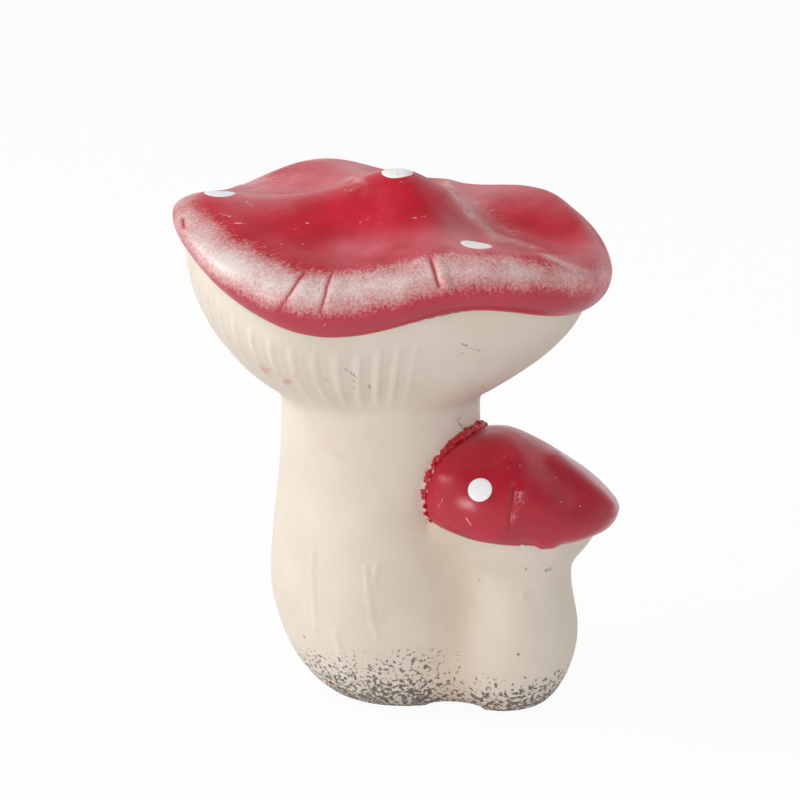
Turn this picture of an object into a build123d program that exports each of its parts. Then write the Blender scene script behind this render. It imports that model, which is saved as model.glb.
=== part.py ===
"""Ceramic ornament: a large toadstool with a small one luted to its side.

Each toadstool is cast in three hollow pieces, a cap, a gill cup and a stem, stuck together with slip.
The origin is the centre of the large stem's foot, on the ground. +X is right, +Y is back and +Z is up.
"""

from build123d import *

import os
from collections import namedtuple
from math import cos, exp, hypot, pi, radians, sin

# Joints and enamel, in millimetres
SLIP_GAP = 0.3
SPIGOT_HEIGHT = 4.0
SPIGOT_WALL = 2.5
CAP_BEAD = 0.9
STEM_BEAD = 2.2
DOT_THICKNESS = 0.35

# Large stem, whose belly and neck stand to the left of its foot
WALL = 4.5
FLOOR = 4.0
FOOT = (0.0, 0.0)
FOOT_RADIUS = 17.3
DRAIN_RADIUS = 6.0
STEM_AXIS = (-5.8, 0.0)
BELLY_RADIUS = 24.7
BELLY_HEIGHT = 26.0
NECK_RADIUS = 21.8
NECK_HEIGHT = 68.0

# Large cap: its stations run anticlockwise from the right, evenly spaced, and its rises are from the neck up
HEAD_SHIFT = 3.6
REACH = (46.4, 44.0, 41.0, 39.0, 42.0, 45.5, 48.5, 47.0, 43.0, 37.5, 39.0, 45.5)
LIP_RISE = (22.5, 26.0, 29.5, 32.0, 35.0, 34.0, 37.0, 29.5, 21.0, 22.2, 25.0, 21.6)
CREST_RISE = (34.5, 39.8, 39.8, 41.8, 45.4, 41.4, 43.5, 39.0, 34.0, 34.5, 36.5, 34.8)
ROLL_DEPTH = (7.0, 6.0, 6.0, 6.0, 6.0, 6.0, 8.0, 13.0, 16.0, 15.0, 13.0, 9.0)
HUB_RISE = (36.5, 36.5, 38.0, 41.0, 43.0, 42.5, 42.5, 40.5, 36.5, 35.5, 36.0, 36.0)
APEX_RISE = 48.8
HUMP_RADIUS = 14.0
HUMP_POWER = 2.2
OVERHANG = 4.1
OVERHANG_SWING = 1.0
CUP_BULGE = 1.88
CUP_BULGE_SWING = 0.18

# Small stem, which leans a little to the right
SMALL_WALL = 3.2
SMALL_FLOOR = 3.0
SMALL_FOOT = (20.8, -11.0)
SMALL_FOOT_RADIUS = 9.4
VENT_RADIUS = 4.0
SMALL_BELLY = (23.2, -11.3)
SMALL_BELLY_RADIUS = 14.4
SMALL_BELLY_HEIGHT = 19.0
SMALL_NECK = (23.5, -11.5)
SMALL_NECK_RADIUS = 12.4
SMALL_NECK_HEIGHT = 32.5

# Small cap: its stations run as the large one's do
SMALL_HEAD_SHIFT = -2.0
SMALL_REACH = (24.7, 23.7, 22.0, 21.0, 20.0, 20.3, 20.0, 20.3, 20.0, 20.0, 21.0, 23.7)
SMALL_LIP_RISE = (8.5, 9.0, 9.5, 10.0, 10.5, 11.5, 11.5, 11.0, 9.5, 8.5, 8.0, 8.2)
SMALL_EDGE_RISE = (12.5, 13.5, 14.5, 15.0, 15.5, 16.0, 16.0, 15.5, 14.0, 13.0, 12.5, 12.5)
SMALL_FULLNESS = (1.25, 1.3, 1.5, 1.9, 2.2, 2.4, 2.4, 2.4, 2.2, 2.0, 1.6, 1.35)
SMALL_APEX_RISE = 29.5
SMALL_OVERHANG = 3.6
SMALL_OVERHANG_SWING = 0.8
SMALL_CUP_BULGE = 1.2

# Dots: bearings in degrees, anticlockwise from the right, and shares of the way from the apex to the rim
DOT_RADIUS = 3.4
DOT_PLACES = ((180, 0.79), (270, 0.03), (312, 0.6), (95, 0.97), (40, 0.985))
SMALL_DOT_RADIUS = 2.6
SMALL_DOT_PLACES = ((250, 0.9), (52, 0.76))

# How the stems swing out from their feet
SIDESTEP = 1.5
FOOT_LEAN = (1.0, 0.75)
FOOT_SWELL = 0.9
NECK_REACH = 1.5

# How finely the rings are laid
STEM_STEPS = 16
TOP_STEPS = 10
ROLL_STEPS = 4
LIP_STEPS = 3
CUP_STEPS = 8

Stem = namedtuple(
    "Stem",
    "foot foot_radius belly belly_radius belly_height neck neck_radius neck_height wall floor hole_radius",
)
Head = namedtuple("Head", "stem axis reach lip apex overhang overhang_swing bulge bulge_swing crown")


def hump(k, radius):
    """How high the hump in the middle of the large cap stands over its dish at a station."""
    return (APEX_RISE - HUB_RISE[k]) * exp(-((radius / HUMP_RADIUS) ** HUMP_POWER))


def dish_crown(k, sink=0.0):
    """(radius, rise) of the large cap's top at a station, from beside the apex to the widest ring.

    A dish rises to the crest of the rim, a hump stands in its middle, and the rim rolls over a quarter turn.
    With a sink, it is the top of the hollow, which lies that much lower and stops short of the rim.
    """
    flat = REACH[k] - ROLL_DEPTH[k]
    points = []
    for n in range(1, TOP_STEPS + 1):
        t = n / TOP_STEPS
        dish = HUB_RISE[k] + (CREST_RISE[k] - HUB_RISE[k]) * t * t * (3 - 2 * t)
        points.append((t * flat, dish + hump(k, t * flat) - sink))
    if sink:
        return points[:-1]
    edge = (CREST_RISE[k] + LIP_RISE[k]) / 2
    for n in range(1, ROLL_STEPS + 1):
        turn = pi / 2 * n / ROLL_STEPS
        radius = flat + ROLL_DEPTH[k] * sin(turn)
        points.append((radius, edge + (CREST_RISE[k] - edge) * cos(turn) + hump(k, radius)))
    return points


def dome_crown(k, sink=0.0):
    """(radius, rise) of the small cap's top at a station: an arch whose fullness changes round the cap.

    With a sink, it is the top of the hollow, which lies that much lower and stops short of the rim.
    """
    power = 2 / SMALL_FULLNESS[k]
    wide, low = SMALL_REACH[k], SMALL_EDGE_RISE[k]
    if sink:
        wide -= SMALL_OVERHANG + sink
        low = SMALL_LIP_RISE[k] + sink / 2
    points = []
    for n in range(1, TOP_STEPS + 1):
        turn = pi / 2 * n / TOP_STEPS
        arch = (SMALL_APEX_RISE - sink - low) * cos(turn) ** power
        points.append((wide * sin(turn) ** power, low + arch))
    return points[:-1] if sink else points


LARGE_STEM = Stem(
    FOOT, FOOT_RADIUS, STEM_AXIS, BELLY_RADIUS, BELLY_HEIGHT,
    STEM_AXIS, NECK_RADIUS, NECK_HEIGHT, WALL, FLOOR, DRAIN_RADIUS,
)
SMALL_STEM = Stem(
    SMALL_FOOT, SMALL_FOOT_RADIUS, SMALL_BELLY, SMALL_BELLY_RADIUS, SMALL_BELLY_HEIGHT,
    SMALL_NECK, SMALL_NECK_RADIUS, SMALL_NECK_HEIGHT, SMALL_WALL, SMALL_FLOOR, VENT_RADIUS,
)
LARGE_HEAD = Head(
    LARGE_STEM, (STEM_AXIS[0] + HEAD_SHIFT, STEM_AXIS[1]), REACH, LIP_RISE, APEX_RISE,
    OVERHANG, OVERHANG_SWING, CUP_BULGE, CUP_BULGE_SWING, dish_crown,
)
SMALL_HEAD = Head(
    SMALL_STEM, (SMALL_NECK[0] + SMALL_HEAD_SHIFT, SMALL_NECK[1]), SMALL_REACH, SMALL_LIP_RISE,
    SMALL_APEX_RISE, SMALL_OVERHANG, SMALL_OVERHANG_SWING, SMALL_CUP_BULGE, 0.0, dome_crown,
)


def between(start, end, share):
    """The place at a share of the way from one (x, y) to another."""
    return start[0] + (end[0] - start[0]) * share, start[1] + (end[1] - start[1]) * share


def stations(head):
    return range(len(head.reach))


def bearing(head, k):
    """A station's direction, anticlockwise from the right."""
    return 2 * pi * k / len(head.reach)


def ring(head, points, share=1.0):
    """A closed curve through a (radius, rise) for each station, centred a share of the way to the cap."""
    x, y = between(head.stem.neck, head.axis, share)
    places = []
    for k, (radius, rise) in enumerate(points):
        angle = bearing(head, k)
        places.append((x + radius * cos(angle), y + radius * sin(angle), head.stem.neck_height + rise))
    return Wire([Edge.make_spline(places, periodic=True)])


def cap_rings(head, outlines):
    """The rings through the stations' outlines of a cap, first points first."""
    return [ring(head, points) for points in zip(*outlines)]


def cup_rings(head, outlines):
    """The rings through the stations' outlines of a gill cup's side, from the neck up."""
    return [ring(head, points, (n + 1) / CUP_STEPS) for n, points in enumerate(zip(*outlines))]


def neck_ring(head, radius, rise):
    x, y = head.stem.neck
    return Wire.make_circle(radius, Plane((x, y, head.stem.neck_height + rise)))


def tip(head, rise):
    x, y = head.axis
    return Vertex(x, y, head.stem.neck_height + rise)


def mean_lip(head):
    return sum(head.lip) / len(head.lip)


def moved(outline, by):
    """The outline moved along its normals, to the left of its way."""
    points = [outline[0], *outline, outline[-1]]
    found = []
    for before, (radius, rise), after in zip(points, points[1:], points[2:]):
        across, up = after[0] - before[0], after[1] - before[1]
        size = hypot(across, up)
        found.append((radius - by * up / size, rise + by * across / size))
    return found


def overhang(head, k):
    """How far the rim stands out past the gill cup, which is most on the right."""
    return head.overhang + head.overhang_swing * cos(bearing(head, k))


def lip_outline(head, k):
    """(radius, rise) from the cap's widest ring, under the rim, to the outside of the gill cup."""
    wide, edge = head.crown(k)[-1]
    points = []
    for n in range(1, LIP_STEPS + 1):
        turn = pi / 2 * n / LIP_STEPS
        points.append((wide - overhang(head, k) * (1 - cos(turn)), edge + (head.lip[k] - edge) * sin(turn)))
    return points


def seat_inside(head, k):
    """(radius, rise) of the inner edge of the ring on which the cap sits."""
    return head.reach[k] - overhang(head, k) - head.stem.wall, head.lip[k]


def cap_outside(head, k):
    return head.crown(k) + lip_outline(head, k)


def cap(head):
    """A hollow cap, from its apex over the rim and the seat to the apex of its hollow."""
    wall = head.stem.wall
    outlines = []
    for k in stations(head):
        hollow = head.crown(k, wall)
        outlines.append(cap_outside(head, k) + [seat_inside(head, k)] + hollow[::-1])
    top, hollow_top = tip(head, head.apex), tip(head, head.apex - wall)
    return Solid.make_loft([top, *cap_rings(head, outlines), hollow_top], ruled=True)


def cap_block(head, grow=0.0):
    """The cap with its hollow filled, and grown on all sides."""
    outlines = [moved(cap_outside(head, k), grow) for k in stations(head)]
    top, bottom = tip(head, head.apex + grow), tip(head, mean_lip(head) - grow)
    return Solid.make_loft([top, *cap_rings(head, outlines), bottom], ruled=True)


def flare(head, k, start, end):
    """(radius, rise) of a gill cup's side at a station, bulging from one end to the other."""
    bulge = head.bulge - head.bulge_swing * cos(bearing(head, k))
    points = []
    for n in range(1, CUP_STEPS + 1):
        t = n / CUP_STEPS
        swell = 1 - (1 - t) ** bulge
        points.append((start[0] + (end[0] - start[0]) * swell, start[1] + (end[1] - start[1]) * t))
    return points


def cup_outside(head, k):
    return flare(head, k, (head.stem.neck_radius, 0), lip_outline(head, k)[-1])


def gill_cup(head):
    """A flared cup with a socket for the stem's spigot in its neck."""
    bore = head.stem.neck_radius - head.stem.wall
    outside = cup_rings(head, [cup_outside(head, k) for k in stations(head)])
    inside = cup_rings(
        head, [flare(head, k, (bore, SPIGOT_HEIGHT), seat_inside(head, k)) for k in stations(head)]
    )
    foot = neck_ring(head, head.stem.neck_radius, 0)
    socket = [neck_ring(head, bore, SPIGOT_HEIGHT), neck_ring(head, bore, 0)]
    return Solid.make_loft([foot, *outside, *inside[::-1], *socket, foot], ruled=True)


def cup_block(head, grow=0.0):
    """The gill cup with its hollow filled, and grown to its sides."""
    outlines = []
    for k in stations(head):
        outlines.append([(radius + grow, rise) for radius, rise in cup_outside(head, k)])
    foot = neck_ring(head, head.stem.neck_radius + grow, 0)
    return Solid.make_loft([foot, *cup_rings(head, outlines), tip(head, mean_lip(head))], ruled=True)


def stem_centre(stem, height):
    """The stem's centre at a height: a quick sidestep from foot to belly, then straight to the neck."""
    if height < stem.belly_height:
        return between(stem.foot, stem.belly, 1 - (1 - height / stem.belly_height) ** SIDESTEP)
    climb = (height - stem.belly_height) / (stem.neck_height - stem.belly_height)
    return between(stem.belly, stem.neck, climb)


def stem_loft(stem, low, belly_radius, high):
    """A filled stem between two (radius, height) ends, round the belly's radius."""
    belly = belly_radius, stem.belly_height
    ways, pulls = (FOOT_LEAN, (0, 1)), (FOOT_SWELL, NECK_REACH)
    profile = Spline(low, belly, high, tangents=ways, tangent_scalars=pulls)
    circles = []
    for n in range(STEM_STEPS + 1):
        point = profile @ (n / STEM_STEPS)
        x, y = stem_centre(stem, point.Y)
        circles.append(Wire.make_circle(point.X, Plane((x, y, point.Y))))
    return Solid.make_loft(circles, ruled=True)


def stem_block(stem, grow=0.0):
    """The stem with its hollow filled, and grown to its sides."""
    foot = stem.foot_radius + grow, 0
    neck = stem.neck_radius + grow, stem.neck_height
    return stem_loft(stem, foot, stem.belly_radius + grow, neck)


def body_block(head, grow=0.0):
    """A stem and its gill cup with their hollows filled, and grown to their sides."""
    return stem_block(head.stem, grow) + cup_block(head, grow)


def upright(centre, radius, low, high):
    """A cylinder between two heights."""
    return Pos(*centre, low) * Cylinder(radius, high - low, align=(Align.CENTER, Align.CENTER, Align.MIN))


def hollow_stem(stem):
    """A stem with a spigot on top, a floor and a hole in the floor."""
    spigot = stem.neck_radius - stem.wall - SLIP_GAP
    throat = spigot - SPIGOT_WALL
    top = stem.neck_height + SPIGOT_HEIGHT
    low, high = (stem.foot_radius - stem.wall / 2, stem.floor), (throat, stem.neck_height)
    solid = stem_block(stem) + upright(stem.neck, spigot, stem.neck_height, top)
    solid -= stem_loft(stem, low, stem.belly_radius - stem.wall, high)
    solid -= upright(stem.neck, throat, stem.neck_height, top)
    return solid - upright(stem.foot, stem.hole_radius, 0, stem.floor)


def place_on(head, degrees, share):
    """(x, y) on a cap at a bearing, a share of the way from the apex to the rim."""
    step = degrees * len(head.reach) / 360
    k = int(step)
    far = head.reach[k] + (head.reach[(k + 1) % len(head.reach)] - head.reach[k]) * (step - k)
    angle = radians(degrees)
    return head.axis[0] + share * far * cos(angle), head.axis[1] + share * far * sin(angle)


def dots(head, places, radius):
    """Thin round spots of enamel on a cap, square to its top."""
    block = cap_block(head)
    skin = cap_block(head, DOT_THICKNESS)
    found = []
    for degrees, share in places:
        upward = Axis((*place_on(head, degrees, share), 0), (0, 0, 1))
        point, normal = skin.find_intersection_points(upward)[-1]
        disc = Plane(point, z_dir=normal) * Cylinder(radius, 4 * radius)
        found.extend(((disc & skin) - block).solids())
    return Compound(found)


def main():
    large_block = body_block(LARGE_HEAD)
    small_blocks = [body_block(SMALL_HEAD), cap_block(SMALL_HEAD)]
    cap_collar = cap_block(SMALL_HEAD, CAP_BEAD)
    cap_bead = cap_collar & body_block(LARGE_HEAD, CAP_BEAD)
    stem_bead = body_block(SMALL_HEAD, STEM_BEAD) & body_block(LARGE_HEAD, STEM_BEAD)
    nodes = {
        "large_cap": cap(LARGE_HEAD),
        "large_gill_cup": gill_cup(LARGE_HEAD),
        "large_stem": hollow_stem(LARGE_STEM),
        "small_cap": cap(SMALL_HEAD) - large_block,
        "small_gill_cup": gill_cup(SMALL_HEAD) - large_block,
        "small_stem": hollow_stem(SMALL_STEM) - large_block,
        "large_cap_dots": dots(LARGE_HEAD, DOT_PLACES, DOT_RADIUS),
        "small_cap_dots": dots(SMALL_HEAD, SMALL_DOT_PLACES, SMALL_DOT_RADIUS),
        "cap_slip_bead": cap_bead - large_block - small_blocks,
        "stem_slip_bead": stem_bead - large_block - small_blocks - cap_collar,
    }
    os.makedirs("parts", exist_ok=True)
    for name, shape in nodes.items():
        export_step(shape, f"parts/{name}.step")


main()
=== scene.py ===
"""The toadstool ornament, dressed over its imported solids: clay, paint, enamel, floor, light and camera."""

import random
from collections import namedtuple
from math import cos, exp, floor, hypot, pi, radians, sin

import bmesh
import bpy
import numpy as np
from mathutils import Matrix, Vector, noise
from mathutils.bvhtree import BVHTree


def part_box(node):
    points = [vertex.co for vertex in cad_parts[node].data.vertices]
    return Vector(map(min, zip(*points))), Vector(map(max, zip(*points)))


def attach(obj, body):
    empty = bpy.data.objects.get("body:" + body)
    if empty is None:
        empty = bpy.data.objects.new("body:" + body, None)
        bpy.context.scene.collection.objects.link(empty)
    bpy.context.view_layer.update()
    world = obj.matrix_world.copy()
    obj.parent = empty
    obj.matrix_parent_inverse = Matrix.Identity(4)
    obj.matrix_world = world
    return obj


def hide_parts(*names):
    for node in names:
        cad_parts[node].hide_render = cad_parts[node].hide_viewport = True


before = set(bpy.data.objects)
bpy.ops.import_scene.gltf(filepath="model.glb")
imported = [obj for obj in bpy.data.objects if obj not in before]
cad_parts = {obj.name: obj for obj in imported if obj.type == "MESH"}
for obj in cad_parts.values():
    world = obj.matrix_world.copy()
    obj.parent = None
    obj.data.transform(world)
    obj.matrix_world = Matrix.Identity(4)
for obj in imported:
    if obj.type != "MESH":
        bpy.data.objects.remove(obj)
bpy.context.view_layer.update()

MM = 0.001

# Corners nearer to each other than this are one corner
SEAM = MM / 1000

# Large cap, in millimetres, as the solids have it
# Stations run anticlockwise from the right, and rises are counted from the neck
NECK_HEIGHT = 68.0
HEAD_AXIS = (-2.2, 0.0)
REACH = (46.4, 44.0, 41.0, 39.0, 42.0, 45.5, 48.5, 47.0, 43.0, 37.5, 39.0, 45.5)
LIP_RISE = (22.5, 26.0, 29.5, 32.0, 35.0, 34.0, 37.0, 29.5, 21.0, 22.2, 25.0, 21.6)
CREST_RISE = (34.5, 39.8, 39.8, 41.8, 45.4, 41.4, 43.5, 39.0, 34.0, 34.5, 36.5, 34.8)
ROLL_DEPTH = (7.0, 6.0, 6.0, 6.0, 6.0, 6.0, 8.0, 13.0, 16.0, 15.0, 13.0, 9.0)
HUB_RISE = (36.5, 36.5, 38.0, 41.0, 43.0, 42.5, 42.5, 40.5, 36.5, 35.5, 36.0, 36.0)
APEX_RISE = 48.8
HUMP_RADIUS = 14.0
HUMP_POWER = 2.2
OVERHANG = 4.1
OVERHANG_SWING = 1.0
WALL = 4.5

# Small cap, likewise
SMALL_NECK_HEIGHT = 32.5
SMALL_HEAD_AXIS = (21.5, -11.5)
SMALL_REACH = (24.7, 23.7, 22.0, 21.0, 20.0, 20.3, 20.0, 20.3, 20.0, 20.0, 21.0, 23.7)
SMALL_LIP_RISE = (8.5, 9.0, 9.5, 10.0, 10.5, 11.5, 11.5, 11.0, 9.5, 8.5, 8.0, 8.2)
SMALL_EDGE_RISE = (12.5, 13.5, 14.5, 15.0, 15.5, 16.0, 16.0, 15.5, 14.0, 13.0, 12.5, 12.5)
SMALL_FULLNESS = (1.25, 1.3, 1.5, 1.9, 2.2, 2.4, 2.4, 2.4, 2.2, 2.0, 1.6, 1.35)
SMALL_APEX_RISE = 29.5
SMALL_OVERHANG = 3.6
SMALL_OVERHANG_SWING = 0.8
SMALL_WALL = 3.2

# Stems
STEM_AXIS = (-5.8, 0.0)
TUCK_RADIUS = 20.0

# Dots: bearings in degrees and shares of the way from the apex to the rim
DOT_RADIUS = 3.4
DOT_PLACES = ((180, 0.79), (270, 0.03), (312, 0.6), (95, 0.97), (40, 0.985))
SMALL_DOT_RADIUS = 2.6
SMALL_DOT_PLACES = ((250, 0.9), (52, 0.76))
DOT_THICKNESS = 0.22
DOT_BED = 0.5
DOT_EDGE_POWER = 8
DOT_SEGMENTS = 64
DOT_RINGS = 24
DOT_DROP = 3.0
ABOVE_ALL = 200.0

# How finely the pieces are meshed
CAP_COLUMNS = 640
TOP_ROWS = 60
ROLL_ROWS = 36
LIP_ROWS = 18
HOLLOW_STEP = 6
SMALL_CAP_COLUMNS = 360
SMALL_TOP_ROWS = 80
CLAY_VOXEL = 0.55
CRUMB_VOXEL = 0.2

# How the clay is smoothed, and how far from the solids it is cut into pieces, in millimetres
PASS_STRENGTH = 0.5
CLAY_PASSES = 40
VALLEY_PASSES = 160
VALLEY_REACH = 7.0
# How fast nearness to the valley between the toadstools fades: it paints shade there and keeps the sponge
# out
CREVICE_FADE = 7.0
CLAY_EDGE = 1.6
PAINT_EDGE = 2.5
SKIN_THICKNESS = 2.0

# Gill lines on the large cup, from a bearing to another, with a shallow groove beside each
# Fades are in radians, and each line rises over a stretch above the neck and below the lip
GILLS_AROUND = 52
GILL_HEIGHT = 0.5
GILL_GROOVE = 0.4
GILL_WIDTH = 0.17
GILL_SLANT = radians(0.25)
GILLS_FROM = radians(110)
GILLS_TO = radians(286)
GILL_FADE_IN = 0.4
GILL_FADE_OUT = 0.5
GILL_FOOT = (1.0, 7.0)
GILL_HEAD = (2.5, 7.0)

# How uneven each surface is: heights and sizes of its swells in millimetres, each with a seed
Swell = namedtuple("Swell", "height size seed")
LARGE_CAP_SWELLS = (Swell(0.2, 14, 3.1), Swell(0.05, 3.5, 1.3))
SMALL_CAP_SWELLS = (Swell(0.2, 9, 7.7), Swell(0.05, 3, 4.1))
CLAY_SWELLS = (Swell(0.07, 8, 1.7),)
CRUMB_SWELLS = (Swell(0.25, 0.8, 5.3),)

# Camera and light
AIM = (-1.6, 0.0, 65.6)
CAMERA_DISTANCE = 700.0
CAMERA_RISE = radians(15)
LENS = 143.2
SENSOR = 36.0
PHOTO_SIZE = 800
FLOOR_SIZE = 6000.0
FLOOR_GLOW = 0.94
WALL_GLOW = 0.86
CEILING_GLOW = 0.3
WALL_TOP = 0.4
CEILING_EDGE = 0.85

# Lamps: places in millimetres, sizes in millimetres and energies in watts
LAMPS = (("key", (-700, 0, 640), 450, 3.3), ("fill", (-640, -700, 240), 150, 1.7))

# Marks of the hand, and painted highlights and sheen, each along a path of pixels in the photograph's frame
# Widths are in millimetres, and lifts are in millimetres or, for a stain, its strength
Mark = namedtuple("Mark", "path width lift")
FACING_FADE = (0.02, 0.2)
LARGE_CAP_FOLDS = (
    Mark(((447, 196), (470, 215), (496, 240), (534, 249), (566, 268), (589, 278)), 2.4, 1.0),
    Mark(((472, 206), (512, 222), (550, 240), (585, 262)), 6.0, -1.4),
    Mark(((345, 178), (360, 190)), 1.4, -0.25),
    Mark(((390, 181), (404, 181)), 3.5, 0.3),
    Mark(((450, 189), (500, 191), (545, 200)), 6.0, 0.9),
    Mark(((208, 193), (234, 193)), 2.5, 0.6),
    Mark(((330, 259), (380, 257), (430, 251)), 5.0, 0.7),
)
LARGE_CAP_CREASES = (
    Mark(((304, 274), (297, 282), (289, 295), (282, 305)), 0.4, -0.25),
    Mark(((331, 277), (327, 286), (325, 297), (320, 312)), 0.4, -0.25),
    Mark(((431, 261), (434, 270), (439, 286)), 0.5, -0.45),
    Mark(((183, 220), (183, 223), (184, 227)), 0.45, -0.08),
)
LARGE_CAP_FACETS = (
    Mark(((309, 282), (294, 302)), 1.6, 0.4),
    Mark(((337, 283), (331, 305)), 1.6, 0.35),
    Mark(((441, 268), (445, 284)), 1.4, 0.55),
)
# Painted highlights: pale lines along the ridge of the dish and the wrinkles by the hump, laid into the rub
LARGE_CAP_PAINTED_GLINTS = (
    Mark(((447, 190), (470, 213), (496, 236), (534, 247), (566, 266), (589, 278)), 1.6, 0.5),
    Mark(((478, 208), (510, 232)), 3.0, 0.25),
    Mark(((345, 177), (366, 182)), 1.0, 0.45),
    Mark(((346, 192), (366, 181)), 0.8, 0.4),
)
# Painted sheen: pale pink where the dish, the back of the rim and the right edge would reflect the bright
# surroundings
LARGE_CAP_PAINTED_SHEEN = (
    Mark(((345, 252), (400, 247), (462, 238)), 3.6, 0.75),
    Mark(((242, 192), (300, 180), (352, 168)), 4.2, 0.7),
    Mark(((452, 189), (505, 192), (560, 206)), 3.0, 0.5),
    Mark(((590, 228), (606, 255)), 2.4, 0.5),
    Mark(((240, 205), (290, 205)), 2.0, 0.35),
)
NICKS = (
    ((219, 213), (232, 217)),
    ((213, 225), (219, 224)),
    ((234, 223), (248, 223)),
    ((252, 243), (262, 240)),
    ((281, 244), (283, 244)),
    ((300, 242), (304, 245)),
    ((306, 223), (312, 225)),
    ((246, 201), (252, 206)),
    ((400, 184), (410, 182)),
    ((411, 219), (417, 218)),
    ((420, 218), (428, 216)),
    ((460, 218), (462, 219)),
    ((379, 276), (383, 272)),
    ((466, 517), (469, 522)),
    ((470, 523), (473, 527)),
    ((438, 507), (443, 499)),
    ((502, 456), (505, 457)),
    ((525, 460), (526, 461)),
    ((507, 469), (510, 466)),
    ((526, 529), (527, 530)),
)
NICK_WIDTH = 0.24
SMALL_CAP_FOLDS = (
    Mark(((556, 455), (580, 476), (603, 497), (610, 506)), 1.5, 0.9),
    Mark(((550, 468), (566, 486), (578, 499)), 4.0, -1.0),
    Mark(((541, 546), (548, 548), (552, 547)), 1.6, 0.9),
    Mark(((525, 545), (534, 545)), 1.4, -0.4),
)
SMALL_CAP_CREASES = (Mark(((514, 486), (512, 505), (509, 531)), 0.5, -0.5),)
SMALL_CAP_FACETS = (Mark(((520, 494), (517, 510), (512, 524)), 1.5, 0.6),)
TOOL_LINES = (
    Mark(((313, 553), (312, 573), (314, 605), (316, 629)), 0.6, 0.28),
    Mark(((366, 568), (368, 594), (374, 627), (378, 639)), 0.6, 0.3),
    Mark(((377, 564), (374, 583)), 0.6, 0.25),
    Mark(((335, 632), (341, 653), (345, 668)), 0.7, 0.35),
    Mark(((523, 596), (524, 597)), 0.8, 0.45),
    Mark(((461, 417), (458, 421), (462, 426), (465, 429)), 0.5, -0.25),
)
SCUFFS = (
    Mark(((345, 369), (352, 374), (356, 377)), 0.35, 0.7),
    Mark(((352, 380), (357, 384)), 0.35, 0.6),
    Mark(((353, 388), (355, 390)), 0.4, 0.6),
    Mark(((369, 385), (371, 391)), 0.45, 0.6),
    Mark(((462, 343), (468, 347)), 0.4, 0.7),
    Mark(((470, 348), (481, 351)), 0.4, 0.6),
    Mark(((461, 417), (458, 421), (462, 426), (465, 429)), 0.34, 0.62),
    Mark(((456, 436), (466, 430)), 1.6, 0.3),
    Mark(((526, 569), (527, 570)), 0.4, 0.6),
    Mark(((546, 571), (552, 568)), 0.5, 0.6),
    Mark(((479, 578), (479, 581)), 0.4, 0.6),
)
BLUSHES = (
    Mark(((261, 366), (268, 371)), 0.4, 0.5),
    Mark(((286, 380), (290, 382)), 0.4, 0.6),
    Mark(((295, 374), (296, 375)), 0.4, 0.4),
    Mark(((325, 380), (327, 380)), 0.4, 0.3),
    Mark(((329, 445), (341, 458)), 1.2, 0.12),
    Mark(((428, 500), (434, 486), (438, 478)), 0.9, 0.8),
)

# Creases of the large cap's back: bearings in degrees and the lengths from the lip between which each runs
BACK_CREASES = ((62, 2, 6), (128, 2, 6), (158, 2, 5), (22, 2, 6))
BACK_CREASE_FADE_IN = 2
BACK_CREASE_FADE_OUT = 3
BACK_CREASE_WIDTH = 0.8
BACK_CREASE_DEPTH = 0.5

# The rubbed band of the large cap, by station
# Lengths from the lip where it begins and ends, and how strong it is
RUB_START = (7.0, 6.0, 6.0, 6.0, 6.0, 6.0, 5.0, 5.5, 7.5, 8.5, 8.2, 8.0)
RUB_END = (15.0, 14.0, 16.0, 20.0, 22.0, 21.0, 15.0, 18.5, 22.5, 23.0, 23.0, 19.0)
RUB_STRENGTH = (0.6, 0.55, 0.5, 0.45, 0.45, 0.5, 0.75, 0.95, 0.95, 0.88, 0.78, 0.68)
RUB_ONSET = 4.5
RUB_FADE = 11.0
RUB_SPILL = 3.0
# How strong the painted highlight on the small cap's facet is, in the pale of the rub
SMALL_FACET_HIGHLIGHT = 0.3

# Crumbs of slip in the small cap's joint, growing from a least share of their size as the joint climbs
CRUMB_COUNT = 900
CRUMB_RADII = (0.22, 0.5)
CRUMB_LEAST = 0.7
CRUMB_GAIN = 0.9
CRUMB_CROWDING = 0.5
CRUMB_SEED = 11

# The dark sponging at the feet: how high it reaches on each stem
SPONGE_TOP = 12.5
SPONGE_SWING = 4.5
SPONGE_BEARING = radians(290)
SMALL_SPONGE_TOP = 11.0
SPONGE_MISSED = 0.6

# Patterns of the materials, each scaled by the size of its grain in millimetres
HAIRS = {"Scale": 1 / 0.5, "Detail": 2.0}
GRIT = {"Scale": 1 / 0.6, "Detail": 4.0, "Roughness": 0.7}
PAINT_MOTTLE = {"Scale": 1 / 8.0, "Detail": 3.0}
CLAY_MOTTLE = {"Scale": 1 / 12.0, "Detail": 4.0}
PEEL = {"Scale": 1 / 0.9, "Detail": 3.0}
BLOTS = {"Scale": 1 / 0.9, "Detail": 2.0, "Roughness": 0.6}
BLOT_PATCHES = {"Scale": 1 / 7.0, "Detail": 2.0}
ENAMEL_MOTTLE = {"Scale": 1 / 1.5, "Detail": 3.0}
FLECKS = {"Scale": 1 / 5.0}
PINHOLES = {"Scale": 1 / 9.0}
ENAMEL_PINHOLES = {"Scale": 1 / 4.0}
HAIR_STRETCH = 4.0
HAIR_CIRCLE = 40.0

# Ramps that turn a pattern, a mark or a length from the lip in millimetres into a share
TONES = {"From Min": 0.35, "From Max": 0.65}
HAIRS_SHOW = {"From Min": 12.0, "From Max": 20.0, "To Min": 0.2, "To Max": 1.0}
DRY_BRUSH_AND_HIGHLIGHT = {"From Min": 1.13, "From Max": 1.88, "To Max": 0.94}
VEIL_FADE = {"From Min": 4.0, "From Max": 12.0, "To Max": 0.0}
RED_EDGE = {"From Min": 1.2, "From Max": 3.2}
FLECK_EDGE = {"From Min": 0.04, "From Max": 0.02}
NICK_EDGE = {"From Min": 1.62, "From Max": 1.95, "To Max": 0.85}
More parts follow.
